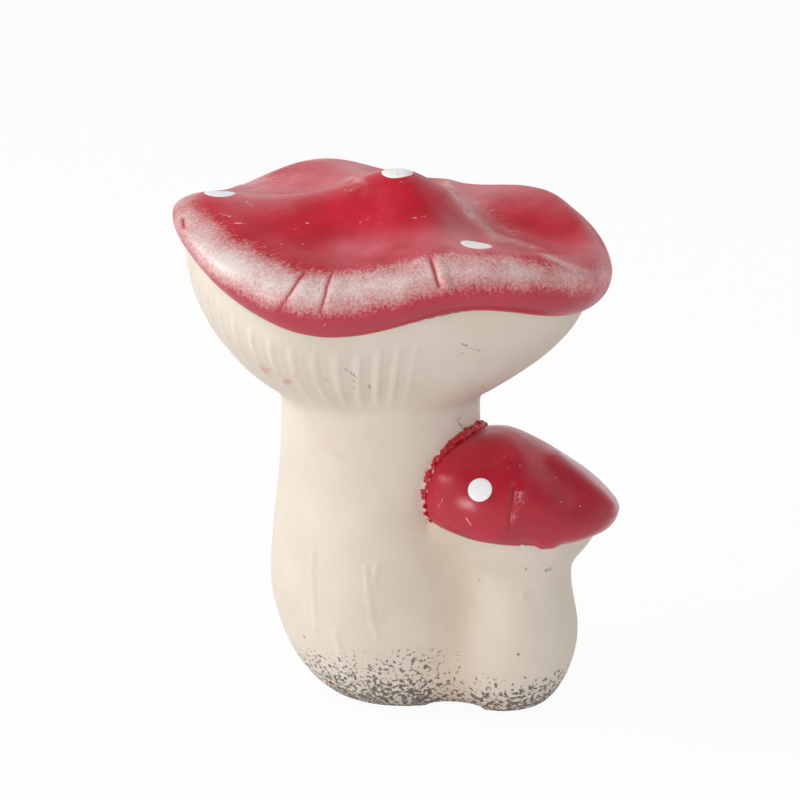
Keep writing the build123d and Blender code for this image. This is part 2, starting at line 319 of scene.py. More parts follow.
# Painted warm shade in the valley between the toadstools
PAINTED_VALLEY_SHADE = {"From Min": 0.1, "From Max": 1.0, "To Max": 0.5}
PINHOLE_EDGE = {"From Min": 0.045, "From Max": 0.02}
SCUFF_EDGE = {"From Min": 0.75, "From Max": 1.1}
SPONGE_SPREAD = {"From Min": 0.25, "From Max": 1.2, "To Max": 0.25}
BLOT_EDGE = {"From Min": 0.61, "From Max": 0.71, "To Max": 0.92}
SPONGE_BOUND = {"From Min": 0.02, "From Max": 0.08}
ENAMEL_PINHOLE_EDGE = {"From Min": 0.06, "From Max": 0.04}
CEILING = {"From Min": WALL_TOP, "From Max": CEILING_EDGE, "To Min": WALL_GLOW, "To Max": CEILING_GLOW}

# How much one pattern counts beside another
HAIR_MEAN = 0.5
MOTTLE_WEIGHT = 0.7
NICK_GRIT = 1.8
SCUFF_GRAIN = 0.8
PATCH_WEIGHT = 0.5

# Gloss and grain of the surfaces
GLAZE_INDEX = 1.5
DRY_ROUGHNESS = 0.32
CLAY_ROUGHNESS = 0.68
ENAMEL_ROUGHNESS = 0.38
PAINT_RELIEF = {"Strength": 0.5, "Distance": 0.08 * MM}
CLAY_RELIEF = {"Strength": 0.6, "Distance": 0.16 * MM}
ENAMEL_RELIEF = {"Strength": 0.3, "Distance": 0.06 * MM}

# The sockets of a mix of two colours
COLOURS = {"data_type": "RGBA"}
SHARE = 0
FIRST = 6
SECOND = 7
MIXED = 2

CAP_NODES = ("large_cap", "small_cap")
CLAY_NODES = ("large_stem", "large_gill_cup", "small_stem", "small_gill_cup", "stem_slip_bead")

# A point in the hollow of each clay piece
HOLLOWS = (
    (-5.8, 0.0, 35.0),
    (-4.0, 0.0, 92.0),
    (22.5, -11.3, 19.0),
    (22.0, -11.5, 43.0),
    (10.0, -5.0, 30.0),
)

# The length from the lip that the inside of a cap is given
INSIDE = -1.0

Cap = namedtuple("Cap", "axis base crown lip overhang swing wall columns")


def rim_curve(table):
    """A smooth closed curve through evenly spaced stations, as a function of the bearing."""
    count = len(table)
    softness = (2 + np.cos(2 * pi * np.arange(count) / count)) / 3
    knots = np.fft.ifft(np.fft.fft(table) / softness).real

    def at(bearing):
        place = bearing / (2 * pi) * count
        k = floor(place)
        f = place - k
        weights = ((1 - f) ** 3, 3 * f**3 - 6 * f**2 + 4, -3 * f**3 + 3 * f**2 + 3 * f + 1, f**3)
        return sum(weight * knots[(k + n - 1) % count] for n, weight in enumerate(weights)) / 6

    return at


reach_at, lip_at, crest_at = rim_curve(REACH), rim_curve(LIP_RISE), rim_curve(CREST_RISE)
roll_at, hub_at = rim_curve(ROLL_DEPTH), rim_curve(HUB_RISE)
rub_start_at, rub_end_at = rim_curve(RUB_START), rim_curve(RUB_END)
rub_strength_at = rim_curve(RUB_STRENGTH)
small_reach_at, small_lip_at = rim_curve(SMALL_REACH), rim_curve(SMALL_LIP_RISE)
small_edge_at, small_fullness_at = rim_curve(SMALL_EDGE_RISE), rim_curve(SMALL_FULLNESS)


def quarter(rows):
    """The angles of a quarter turn, without its start."""
    return [pi / 2 * n / rows for n in range(1, rows + 1)]


def hump(bearing, radius):
    """How high the hump in the middle of the large cap stands over its dish."""
    return (APEX_RISE - hub_at(bearing)) * exp(-((radius / HUMP_RADIUS) ** HUMP_POWER))


def dish_crown(bearing):
    """(radius, rise) of the large cap's top, from the apex to the widest ring."""
    crest, hub, roll = crest_at(bearing), hub_at(bearing), roll_at(bearing)
    flat = reach_at(bearing) - roll
    edge = (crest + lip_at(bearing)) / 2
    points = []
    for n in range(TOP_ROWS + 1):
        t = n / TOP_ROWS
        dish = hub + (crest - hub) * t * t * (3 - 2 * t)
        points.append((t * flat, dish + hump(bearing, t * flat)))
    for turn in quarter(ROLL_ROWS):
        radius = flat + roll * sin(turn)
        points.append((radius, edge + (crest - edge) * cos(turn) + hump(bearing, radius)))
    return points


def dome_crown(bearing):
    """(radius, rise) of the small cap's top, from the apex to the widest ring."""
    power = 2 / small_fullness_at(bearing)
    wide, low = small_reach_at(bearing), small_edge_at(bearing)
    points = [(0.0, SMALL_APEX_RISE)]
    for turn in quarter(SMALL_TOP_ROWS):
        arch = (SMALL_APEX_RISE - low) * max(cos(turn), 0.0) ** power
        points.append((wide * sin(turn) ** power, low + arch))
    return points


LARGE_CAP = Cap(
    HEAD_AXIS, NECK_HEIGHT, dish_crown, lip_at, OVERHANG, OVERHANG_SWING, WALL, CAP_COLUMNS
)
SMALL_CAP = Cap(
    SMALL_HEAD_AXIS, SMALL_NECK_HEIGHT, dome_crown, small_lip_at,
    SMALL_OVERHANG, SMALL_OVERHANG_SWING, SMALL_WALL, SMALL_CAP_COLUMNS,
)


def cap_outline(cap, bearing):
    """(radius, rise, length from the lip) from the apex over the rim and the seat to the hollow's apex."""
    crown = cap.crown(bearing)
    wide, edge = crown[-1]
    lip = cap.lip(bearing)
    overhang = cap.overhang + cap.swing * cos(bearing)
    seat = wide - overhang
    inner = seat - cap.wall
    under = []
    for turn in quarter(LIP_ROWS):
        under.append((wide - overhang * (1 - cos(turn)), edge + (lip - edge) * sin(turn)))
    outside = crown + under
    hollow = [(radius * inner / wide, rise - cap.wall) for radius, rise in crown[::-HOLLOW_STEP]]
    lengths = [0.0]
    for (radius, rise), (next_radius, next_rise) in zip(outside[::-1], outside[-2::-1]):
        lengths.append(lengths[-1] + hypot(next_radius - radius, next_rise - rise))
    points = [(*point, length) for point, length in zip(outside, lengths[::-1])]
    return points + [(*point, INSIDE) for point in [(inner, lip), *hollow]]


def linked(name, data):
    """A new object in the scene."""
    made = bpy.data.objects.new(name, data)
    bpy.context.scene.collection.objects.link(made)
    return made


def new_piece(name, bm, material, node):
    """An object from a mesh in the making, riding on the ornament in place of a solid."""
    mesh = bpy.data.meshes.new(name)
    bm.to_mesh(mesh)
    bm.free()
    mesh.shade_smooth()
    mesh.materials.append(material)
    piece = linked(name, mesh)
    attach(piece, "root")
    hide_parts(node)
    return piece


def photo_view(places, normals):
    """The pixels at which the photograph shows some places, in millimetres, and how much they face it."""
    toward = np.array((0.0, cos(CAMERA_RISE), -sin(CAMERA_RISE)))
    upward = np.array((0.0, sin(CAMERA_RISE), cos(CAMERA_RISE)))
    sight = places - (np.array(AIM) - CAMERA_DISTANCE * toward)
    scale = LENS / SENSOR * PHOTO_SIZE / (sight @ toward)
    pixels = PHOTO_SIZE / 2 + np.stack((sight[:, 0] * scale, -(sight @ upward) * scale), axis=1)
    facing = -(normals * sight).sum(axis=1) / np.linalg.norm(sight, axis=1)
    return pixels, step(*FACING_FADE, facing)


def nearness(pixels, path, width):
    """How near pixels lie to a path, from 1 on it to nearly 0 past a width in millimetres."""
    nearest = np.full(len(pixels), np.inf)
    for start, end in zip(np.array(path, float), np.array(path[1:], float)):
        along = end - start
        share = np.clip((pixels - start) @ along / (along @ along), 0.0, 1.0)
        nearest = np.minimum(nearest, np.linalg.norm(pixels - start - share[:, None] * along, axis=1))
    pixels_per_mm = LENS / SENSOR * PHOTO_SIZE / CAMERA_DISTANCE
    return np.exp(-((nearest / pixels_per_mm / width) ** 2))


def laid(marks, pixels, facing):
    """The lifts of some marks, added up."""
    return facing * sum(mark.lift * nearness(pixels, mark.path, mark.width) for mark in marks)


def deepest(marks, pixels, facing):
    """The nearness to the nearest of some marks."""
    return facing * np.max([nearness(pixels, mark.path, mark.width) for mark in marks], axis=0)


def worst(marks, pixels, facing):
    """The strongest of some stains at each place."""
    return facing * np.max([mark.lift * nearness(pixels, mark.path, mark.width) for mark in marks], axis=0)


def undulation(places, swells):
    """A gentle unevenness at some places, in millimetres."""
    total = np.zeros(len(places))
    for swell in swells:
        shift = Vector((swell.seed, swell.seed, swell.seed))
        heights = [noise.noise(Vector(place) / swell.size + shift) for place in places]
        total += swell.height * np.array(heights)
    return total


def step(low, high, values):
    """A smooth step from 0 to 1 between two values."""
    share = np.clip((values - low) / (high - low), 0.0, 1.0)
    return share * share * (3 - 2 * share)


def back_creases(bearings, lengths):
    """How near places lie to the creases of the large cap's back."""
    total = np.zeros(len(bearings))
    for bearing, start, end in BACK_CREASES:
        across = (bearings - radians(bearing)) * reach_at(radians(bearing)) / BACK_CREASE_WIDTH
        begun = step(start - BACK_CREASE_FADE_IN, start, lengths)
        total += np.exp(-(across**2)) * begun * step(end + BACK_CREASE_FADE_OUT, end, lengths)
    return total


def large_cap_marks(bearings, lengths, places, pixels, facing):
    """How far the large cap's top stands out, in millimetres, and how its paint is marked."""
    creases = deepest(LARGE_CAP_CREASES, pixels, facing)
    behind = back_creases(bearings, lengths)
    lift = undulation(places, LARGE_CAP_SWELLS)
    for marks in (LARGE_CAP_FOLDS, LARGE_CAP_CREASES, LARGE_CAP_FACETS):
        lift += laid(marks, pixels, facing)
    lift -= BACK_CREASE_DEPTH * behind
    starts, ends, strengths = (
        np.array([curve(bearing) for bearing in bearings])
        for curve in (rub_start_at, rub_end_at, rub_strength_at)
    )
    onset = step(starts - RUB_ONSET, starts + RUB_ONSET, lengths)
    rub = strengths * onset * step(ends + RUB_SPILL, ends - RUB_FADE, lengths)
    # Painted highlights along the ridges are laid into the pale of the rub
    rub = np.maximum(rub, worst(LARGE_CAP_PAINTED_GLINTS, pixels, facing))
    # A painted sheen stands in for the reflection of the bright surroundings
    haze = worst(LARGE_CAP_PAINTED_SHEEN, pixels, facing)
    return lift, {"rub": rub, "crease": np.maximum(creases, behind), "haze": haze}


def small_cap_marks(bearings, lengths, places, pixels, facing):
    """How far the small cap's top stands out, in millimetres, and how its paint is marked."""
    lift = undulation(places, SMALL_CAP_SWELLS)
    for marks in (SMALL_CAP_FOLDS, SMALL_CAP_CREASES, SMALL_CAP_FACETS):
        lift += laid(marks, pixels, facing)
    # A painted highlight on the facet, in the pale of the rub
    rub = SMALL_FACET_HIGHLIGHT * deepest(SMALL_CAP_FACETS, pixels, facing)
    return lift, {"rub": rub, "crease": deepest(SMALL_CAP_CREASES, pixels, facing)}


def wrapped_cap(cap, marked):
    """A cap as a grid, wrapped round its axis from apex to apex, with the marks of its top."""
    outlines = [cap_outline(cap, 2 * pi * n / cap.columns) for n in range(cap.columns + 1)]
    rows = len(outlines[0]) - 1
    bm = bmesh.new()
    bmesh.ops.create_grid(bm, x_segments=cap.columns, y_segments=rows, size=0.5)
    from_lip = bm.verts.layers.float.new("from_lip")
    for vert in bm.verts:
        column = round((vert.co.x + 0.5) * cap.columns)
        radius, rise, length = outlines[column][round((vert.co.y + 0.5) * rows)]
        angle = 2 * pi * column / cap.columns
        x, y = cap.axis[0] + radius * cos(angle), cap.axis[1] + radius * sin(angle)
        vert.co = Vector((x, y, cap.base + rise)) * MM
        vert[from_lip] = length
    bmesh.ops.remove_doubles(bm, verts=bm.verts, dist=SEAM)
    bmesh.ops.recalc_face_normals(bm, faces=bm.faces)
    bm.normal_update()
    outer = [vert for vert in bm.verts if vert[from_lip] >= 0]
    places = np.array([vert.co for vert in outer]) / MM
    normals = np.array([vert.normal for vert in outer])
    lengths = np.array([vert[from_lip] for vert in outer])
    bearings = np.arctan2(places[:, 1] - cap.axis[1], places[:, 0] - cap.axis[0]) % (2 * pi)
    pixels, facing = photo_view(places, normals)
    lifts, paints = marked(bearings, lengths, places, pixels, facing)
    nicked = [Mark(path, NICK_WIDTH, 1.0) for path in NICKS]
    paints["nick"] = deepest(nicked, pixels, facing)
    for vert, lift in zip(outer, lifts):
        vert.co += vert.normal * lift * MM
    for name, values in paints.items():
        layer = bm.verts.layers.float.new(name)
        # A new layer puts new corners in the place of the old ones
        outer = [vert for vert in bm.verts if vert[from_lip] >= 0]
        for vert, value in zip(outer, values):
            vert[layer] = value
    return bm


def surface_tree(mesh):
    """The search tree of a surface."""
    return BVHTree.FromPolygons([v.co for v in mesh.vertices], [p.vertices for p in mesh.polygons])


def remeshed(bm, voxel):
    """The mesh in the making as one even skin of small squares."""
    mesh = bpy.data.meshes.new("rough")
    bm.to_mesh(mesh)
    rough = linked("rough", mesh)
    remesh = rough.modifiers.new("even", "REMESH")
    remesh.mode = "VOXEL"
    remesh.voxel_size = voxel * MM
    even = bpy.data.meshes.new_from_object(rough.evaluated_get(bpy.context.evaluated_depsgraph_get()))
    bm.clear()
    bm.from_mesh(even)
    bpy.data.objects.remove(rough)
    bpy.data.meshes.remove(mesh)
    bpy.data.meshes.remove(even)


def smoothed(bm, verts, passes):
    """Draws corners towards the middle of their neighbours, pass by pass."""
    for _ in range(passes):
        bmesh.ops.smooth_vert(
            bm, verts=verts, factor=PASS_STRENGTH, use_axis_x=True, use_axis_y=True, use_axis_z=True
        )


def gill_lines(places):
    """How far the large cup's outside stands out, in millimetres: thin raised lines on its left half."""
    bearings = np.arctan2(places[:, 1] - HEAD_AXIS[1], places[:, 0] - HEAD_AXIS[0]) % (2 * pi)
    rises = places[:, 2] - NECK_HEIGHT
    tops = np.array([lip_at(bearing) for bearing in bearings])
    turn = bearings - GILL_SLANT * rises
    across = (turn * GILLS_AROUND / (2 * pi)) % 1.0 - 0.5
    beside = across + 2 * GILL_WIDTH
    shape = np.exp(-((across / GILL_WIDTH) ** 2)) - GILL_GROOVE * np.exp(-((beside / GILL_WIDTH) ** 2))
    ends = step(*GILL_FOOT, rises) * step(*GILL_HEAD, tops - rises)
    begun = step(GILLS_FROM, GILLS_FROM + GILL_FADE_IN, bearings)
    return GILL_HEIGHT * shape * ends * begun * step(GILLS_TO, GILLS_TO - GILL_FADE_OUT, bearings)


def clay_skin():
    """The clay of stems, gill cups and slip as one soft skin, with the solid that each corner belongs to."""
    bm = bmesh.new()
    for node in (*CLAY_NODES, *CAP_NODES):
        bm.from_mesh(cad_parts[node].data)
    bmesh.ops.remove_doubles(bm, verts=bm.verts, dist=SEAM)
    remeshed(bm, CLAY_VOXEL)
    trees = [surface_tree(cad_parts[node].data) for node in CLAY_NODES]
    painted = surface_tree(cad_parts["small_cap"].data)
    owner = bm.verts.layers.int.new("owner")
    crevice = bm.verts.layers.float.new("crevice")
    soft, valley = [], []
    for vert in bm.verts:
        gaps = [tree.find_nearest(vert.co)[3] / MM for tree in trees]
        vert[owner] = gaps.index(min(gaps)) if min(gaps) < CLAY_EDGE else len(CLAY_NODES)
        # Nearness to the valley between the toadstools, for its painted shade and for keeping the sponge out
        between = max(min(gaps[:2]), min(gaps[2:4]))
        vert[crevice] = exp(-between / CREVICE_FADE)
        if vert[owner] == 0 and painted.find_nearest(vert.co)[3] < PAINT_EDGE * MM:
            continue
        soft.append(vert)
        if between < VALLEY_REACH:
            valley.append(vert)
    smoothed(bm, soft, CLAY_PASSES)
    smoothed(bm, valley, VALLEY_PASSES)
    bm.normal_update()
    marked_clay(bm)
    bm.normal_update()
    return bm


def marked_clay(bm):
    """Lays the gill lines, the tool lines and the stains on the clay skin."""
    owner = bm.verts.layers.int["owner"]
    crevice = bm.verts.layers.float["crevice"]
    owners = np.array([vert[owner] for vert in bm.verts])
    crevices = np.array([vert[crevice] for vert in bm.verts])
    places = np.array([vert.co for vert in bm.verts]) / MM
    normals = np.array([vert.normal for vert in bm.verts])
    pixels, facing = photo_view(places, normals)
    lifts = undulation(places, CLAY_SWELLS) + laid(TOOL_LINES, pixels, facing)
    lifts += (owners == CLAY_NODES.index("large_gill_cup")) * gill_lines(places)
    bearings = np.arctan2(places[:, 1] - STEM_AXIS[1], places[:, 0] - STEM_AXIS[0])
    tops = SPONGE_TOP + SPONGE_SWING * np.cos(bearings - SPONGE_BEARING)
    tops = np.where(owners == CLAY_NODES.index("small_stem"), SMALL_SPONGE_TOP, tops)
    sponge = np.clip(1 - places[:, 2] / tops, 0.0, 1.0) * (1 - SPONGE_MISSED * crevices)
    scuffs, blushes = (worst(marks, pixels, facing) for marks in (SCUFFS, BLUSHES))
    stains = {"sponge": sponge, "scuff": scuffs, "blush": blushes}
    for vert, lift in zip(bm.verts, lifts):
        vert.co += vert.normal * lift * MM
    for name, values in stains.items():
        layer = bm.verts.layers.float.new(name)
        for vert, value in zip(bm.verts, values):
            vert[layer] = value


def clay_piece(skin, number, material):
    """The outside of the skin that belongs to a solid, with a wall behind it, shaded as the whole skin."""
    bm = skin.copy()
    owner = bm.verts.layers.int["owner"]
    shading = bm.verts.layers.float_vector.new("shading")
    for vert in bm.verts:
        vert[shading] = vert.normal
    middle = Vector(HOLLOWS[number]) * MM
    others = []
    for face in bm.faces:
        inward = face.normal.dot(face.calc_center_median() - middle) < 0
        if inward or max(vert[owner] for vert in face.verts) != number:
            others.append(face)
    bmesh.ops.delete(bm, geom=others, context="FACES")
    bmesh.ops.solidify(bm, geom=bm.faces[:], thickness=SKIN_THICKNESS * MM)
    name = CLAY_NODES[number]
    mesh = new_piece(name + "_skin", bm, material, name).data
    normals = []
    for vert, whole in zip(mesh.vertices, mesh.attributes["shading"].data):
        normals.append(whole.vector if vert.normal.dot(whole.vector) > 0 else vert.normal)
    mesh.normals_split_custom_set_from_vertices(normals)
    for spare in ("shading", "owner"):
        mesh.attributes.remove(mesh.attributes[spare])


def tucked(bm):
    """The small cap without what would lie deep inside the large stem, closed there."""
    inside = []
    for face in bm.faces:
        place = face.calc_center_median() / MM
        if hypot(place.x - STEM_AXIS[0], place.y - STEM_AXIS[1]) < TUCK_RADIUS:
            inside.append(face)
    bmesh.ops.delete(bm, geom=inside, context="FACES")
    bmesh.ops.holes_fill(bm, edges=[edge for edge in bm.edges if edge.is_boundary], sides=0)
    return bm


def dot_places(cap, places):
    """(x, y) of a cap's dots, from their bearings and shares of the reach."""
    found = []
    for bearing, share in places:
        angle = radians(bearing)
        far = share * cap.crown(angle)[-1][0]
        found.append((cap.axis[0] + far * cos(angle), cap.axis[1] + far * sin(angle)))
    return found


def enamel_dots(cap, surface, places, radius):
    """Thin lenses of enamel that lie on a cap's surface."""
    tree = surface_tree(surface)
    bm = bmesh.new()
    for x, y in dot_places(cap, places):
        middle, upward, _, _ = tree.ray_cast(Vector((x, y, ABOVE_ALL)) * MM, Vector((0, 0, -1)))
        across = upward.orthogonal().normalized()
        along = upward.cross(across)
        lens = bmesh.ops.create_uvsphere(bm, u_segments=DOT_SEGMENTS, v_segments=DOT_RINGS, radius=1.0)
        for vert in lens["verts"]:
            far = min(1.0, hypot(vert.co.x, vert.co.y))
            height = DOT_THICKNESS if vert.co.z > 0 else -DOT_BED
            spot = middle + (across * vert.co.x + along * vert.co.y) * radius * MM + upward * DOT_DROP * MM
            below, outward, _, _ = tree.ray_cast(spot, -upward)
            vert.co = below + outward * height * (1 - far**DOT_EDGE_POWER) * MM
    bmesh.ops.recalc_face_normals(bm, faces=bm.faces)
    return bm


def slip_crumbs(cap_surface):
    """Crumbs of painted slip in the joint of the small cap and the large stem, larger towards its top."""
    joint = bmesh.new()
    joint.from_mesh(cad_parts["cap_slip_bead"].data)
    bmesh.ops.remove_doubles(joint, verts=joint.verts, dist=SEAM)
    low, high = (corner[2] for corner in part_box("cap_slip_bead"))
    tree = surface_tree(cap_surface)
    draw = random.Random(CRUMB_SEED)
    edges = joint.edges[:]
    bm = bmesh.new()
    for _ in range(CRUMB_COUNT):
        edge = draw.choice(edges)
        place = edge.verts[0].co.lerp(edge.verts[1].co, draw.random())
        climb = (place.z - low) / (high - low)
        seat = place.lerp(tree.find_nearest(place)[0], draw.random() ** CRUMB_CROWDING)
        radius = draw.uniform(*CRUMB_RADII) * (CRUMB_LEAST + CRUMB_GAIN * climb**2)
        crumb = bmesh.ops.create_icosphere(bm, subdivisions=2, radius=radius * MM)["verts"]
        bmesh.ops.translate(bm, verts=crumb, vec=seat)
    joint.free()
    remeshed(bm, CRUMB_VOXEL)
    bm.normal_update()
    lifts = undulation(np.array([vert.co for vert in bm.verts]) / MM, CRUMB_SWELLS)
    for vert, lift in zip(bm.verts, lifts):
        vert.co += vert.normal * lift * MM
    return bm


def linear(code):
    """A colour from its sRGB hex value."""
    parts = [int(code[n : n + 2], 16) / 255 for n in (1, 3, 5)]
    return (*(c / 12.92 if c <= 0.04045 else ((c + 0.055) / 1.055) ** 2.4 for c in parts), 1.0)


def add(tree, kind, settings, inputs):
    """A node with its settings, and with each input set to a value or linked to a node or a socket."""
    node = tree.nodes.new(kind)
    for name, value in settings.items():
        setattr(node, name, value)
    for key, value in inputs.items():
        if isinstance(value, bpy.types.Node):
            value = value.outputs[0]
        if isinstance(value, bpy.types.NodeSocket):
            tree.links.new(value, node.inputs[key])
        else:
            node.inputs[key].default_value = value
    return node


def bare_tree(holder):
    """The node tree of a material or of the world, emptied."""
    holder.use_nodes = True
    holder.node_tree.nodes.clear()
    return holder.node_tree


def new_material(name):
    """A material with nothing but the piece's own coordinates, in millimetres."""
    material = bpy.data.materials.new(name)
    tree = bare_tree(material)
    coordinates = add(tree, "ShaderNodeTexCoord", {}, {})
    place = add(
        tree, "ShaderNodeVectorMath", {"operation": "SCALE"},
        {0: coordinates.outputs["Object"], "Scale": 1 / MM},
    )
    return material, tree, place


def coat(tree, inputs):
    """The surface that the material ends in."""
    surface = add(tree, "ShaderNodeBsdfPrincipled", {}, inputs)
    add(tree, "ShaderNodeOutputMaterial", {}, {"Surface": surface})


def red_paint(name, axis, dark, bright, roughness, veiled):
    """Brushed red paint, semi-gloss, with a dry pale brush drawn over the rim, painted pale highlights, a
    painted pink sheen, red creases and nicks.
    """
    material, tree, place = new_material(name)
    from_lip, rub, crease, nick, haze = (
        add(tree, "ShaderNodeAttribute", {"attribute_name": mark}, {}).outputs["Fac"]
        for mark in ("from_lip", "rub", "crease", "nick", "haze")
    )
    # The brush was drawn outwards, so its hairs leave traces longer than they are wide
    centred = add(tree, "ShaderNodeVectorMath", {"operation": "SUBTRACT"}, {0: place, 1: (*axis, 0.0)})
    level = add(tree, "ShaderNodeVectorMath", {"operation": "MULTIPLY"}, {0: centred, 1: (1.0, 1.0, 0.0)})
    outward = add(tree, "ShaderNodeVectorMath", {"operation": "NORMALIZE"}, {0: level})
    around = add(tree, "ShaderNodeVectorMath", {"operation": "SCALE"}, {0: outward, "Scale": HAIR_CIRCLE})
    slow = add(tree, "ShaderNodeMath", {"operation": "DIVIDE"}, {0: from_lip, 1: HAIR_STRETCH})
    along = add(tree, "ShaderNodeCombineXYZ", {}, {"Z": slow})
    brushed = add(tree, "ShaderNodeVectorMath", {"operation": "ADD"}, {0: around, 1: along})
    hairs = add(tree, "ShaderNodeTexNoise", {}, {"Vector": brushed, **HAIRS})
    grit = add(tree, "ShaderNodeTexNoise", {}, {"Vector": place, **GRIT})
    mottle = add(tree, "ShaderNodeTexNoise", {}, {"Vector": place, **PAINT_MOTTLE})
    # The dry brush and the painted highlights show pale where the rub, the hairs and the grit together are
    # high
    drawn = add(tree, "ShaderNodeMapRange", {}, {"Value": from_lip, **HAIRS_SHOW})
    stroke = add(tree, "ShaderNodeMath", {"operation": "SUBTRACT"}, {0: hairs, 1: HAIR_MEAN})
    texture = add(tree, "ShaderNodeMath", {"operation": "MULTIPLY_ADD"}, {0: stroke, 1: drawn, 2: grit})
    patchy = add(
        tree, "ShaderNodeMath", {"operation": "MULTIPLY_ADD"}, {0: mottle, 1: MOTTLE_WEIGHT, 2: texture}
    )
    caught = add(tree, "ShaderNodeMath", {"operation": "ADD"}, {0: rub, 1: patchy})
    pale = add(tree, "ShaderNodeMapRange", {}, {"Value": caught, **DRY_BRUSH_AND_HIGHLIGHT})
    spared = add(tree, "ShaderNodeMath", {"operation": "SUBTRACT"}, {0: 1.0, 1: crease})
    cover = add(tree, "ShaderNodeMath", {"operation": "MULTIPLY"}, {0: pale, 1: spared})
    tone = add(tree, "ShaderNodeMapRange", {}, {"Value": mottle, **TONES})
    red = add(tree, "ShaderNodeMix", COLOURS, {SHARE: tone, FIRST: linear(dark), SECOND: linear(bright)})
    # A thin veil of the pale brush lies under the band and leaves the very edge red
    under = add(tree, "ShaderNodeMapRange", {}, {"Value": from_lip, "To Min": veiled, **VEIL_FADE})
    edge = add(tree, "ShaderNodeMapRange", {}, {"Value": from_lip, **RED_EDGE})
    veil = add(tree, "ShaderNodeMath", {"operation": "MULTIPLY"}, {0: under, 1: edge})
    # A painted sheen, an even pale pink in place of the reflection of the bright surroundings, lies in the
    # dish and on the back of the rim
    sheen_share = add(tree, "ShaderNodeMath", {"operation": "MULTIPLY"}, {0: haze, 1: mottle})
    # Flecks where the paint missed, and nicks broken up by the grit
    cells = add(tree, "ShaderNodeTexVoronoi", {}, {"Vector": place, **FLECKS}).outputs["Distance"]
    fleck = add(tree, "ShaderNodeMapRange", {}, {"Value": cells, **FLECK_EDGE})
    broken = add(tree, "ShaderNodeMath", {"operation": "MULTIPLY_ADD"}, {0: grit, 1: NICK_GRIT, 2: nick})
    chipped = add(tree, "ShaderNodeMapRange", {}, {"Value": broken, **NICK_EDGE})
    missed = add(tree, "ShaderNodeMath", {"operation": "MAXIMUM"}, {0: chipped, 1: fleck})
    colour = red.outputs[MIXED]
    layers = (
        (veil, "#AC4252"),
        # The painted sheen, pale pink
        (sheen_share, "#E48A94"),
        (crease, "#A80A20"),
        # The pale of the dry brush, with the painted highlights
        (cover, "#F0E4DE"),
        (missed, "#E6C4B6"),
    )
    for share, shade in layers:
        over = add(tree, "ShaderNodeMix", COLOURS, {SHARE: share, FIRST: colour, SECOND: linear(shade)})
        colour = over.outputs[MIXED]
    dulled = add(
        tree, "ShaderNodeMapRange", {}, {"Value": cover, "To Min": roughness, "To Max": DRY_ROUGHNESS}
    )
    relief = add(tree, "ShaderNodeBump", {}, {"Height": texture, **PAINT_RELIEF})
    coat(tree, {"Base Color": colour, "Roughness": dulled, "IOR": GLAZE_INDEX, "Normal": relief})
    return material


def cream_clay():
    """Fired cream clay, matte, with pinholes, a dark sponging at its foot and a painted warm shade in the
    valley between the toadstools.
    """
    material, tree, place = new_material("fired_cream_clay")
    crevice, sponge, scuff, blush = (
        add(tree, "ShaderNodeAttribute", {"attribute_name": mark}, {}).outputs["Fac"]
        for mark in ("crevice", "sponge", "scuff", "blush")
    )
    mottle, peel, blots, patches = (
        add(tree, "ShaderNodeTexNoise", {}, {"Vector": place, **pattern})
        for pattern in (CLAY_MOTTLE, PEEL, BLOTS, BLOT_PATCHES)
    )
    tone = add(tree, "ShaderNodeMapRange", {}, {"Value": mottle, **TONES})
    cream = add(
        tree, "ShaderNodeMix", COLOURS, {SHARE: tone, FIRST: linear("#DED2C3"), SECOND: linear("#E4D9CB")}
    )
    # Painted warm shade in the valley between the toadstools
    hollow = add(tree, "ShaderNodeMapRange", {}, {"Value": crevice, **PAINTED_VALLEY_SHADE})
    # Pinholes about half a millimetre wide, and scuffs broken up by the grain
    cells = add(tree, "ShaderNodeTexVoronoi", {}, {"Vector": place, **PINHOLES}).outputs["Distance"]
    pin = add(tree, "ShaderNodeMapRange", {}, {"Value": cells, **PINHOLE_EDGE})
    worn = add(tree, "ShaderNodeMath", {"operation": "MULTIPLY_ADD"}, {0: peel, 1: SCUFF_GRAIN, 2: scuff})
    scraped = add(tree, "ShaderNodeMapRange", {}, {"Value": worn, **SCUFF_EDGE})
    dirt = add(tree, "ShaderNodeMath", {"operation": "MAXIMUM"}, {0: pin, 1: scraped})
    # The sponge leaves blots of about a millimetre, closer together towards the ground
    spread = add(
        tree, "ShaderNodeMath", {"operation": "MULTIPLY_ADD"}, {0: patches, 1: PATCH_WEIGHT, 2: sponge}
    )
    reach = add(tree, "ShaderNodeMapRange", {}, {"Value": spread, **SPONGE_SPREAD})
    printed = add(tree, "ShaderNodeMath", {"operation": "ADD"}, {0: blots, 1: reach})
    blotted = add(tree, "ShaderNodeMapRange", {}, {"Value": printed, **BLOT_EDGE})
    bounded = add(tree, "ShaderNodeMapRange", {}, {"Value": sponge, **SPONGE_BOUND})
    dark = add(tree, "ShaderNodeMath", {"operation": "MULTIPLY"}, {0: blotted, 1: bounded})
    colour = cream.outputs[MIXED]
    for share, shade in ((hollow, "#CFAE90"), (blush, "#D9848E"), (dirt, "#7A6A58"), (dark, "#5A4F4D")):
        over = add(tree, "ShaderNodeMix", COLOURS, {SHARE: share, FIRST: colour, SECOND: linear(shade)})
        colour = over.outputs[MIXED]
    dented = add(tree, "ShaderNodeMath", {"operation": "SUBTRACT"}, {0: peel, 1: pin})
    relief = add(tree, "ShaderNodeBump", {}, {"Height": dented, **CLAY_RELIEF})
    coat(tree, {"Base Color": colour, "Roughness": CLAY_ROUGHNESS, "IOR": GLAZE_INDEX, "Normal": relief})
    return material


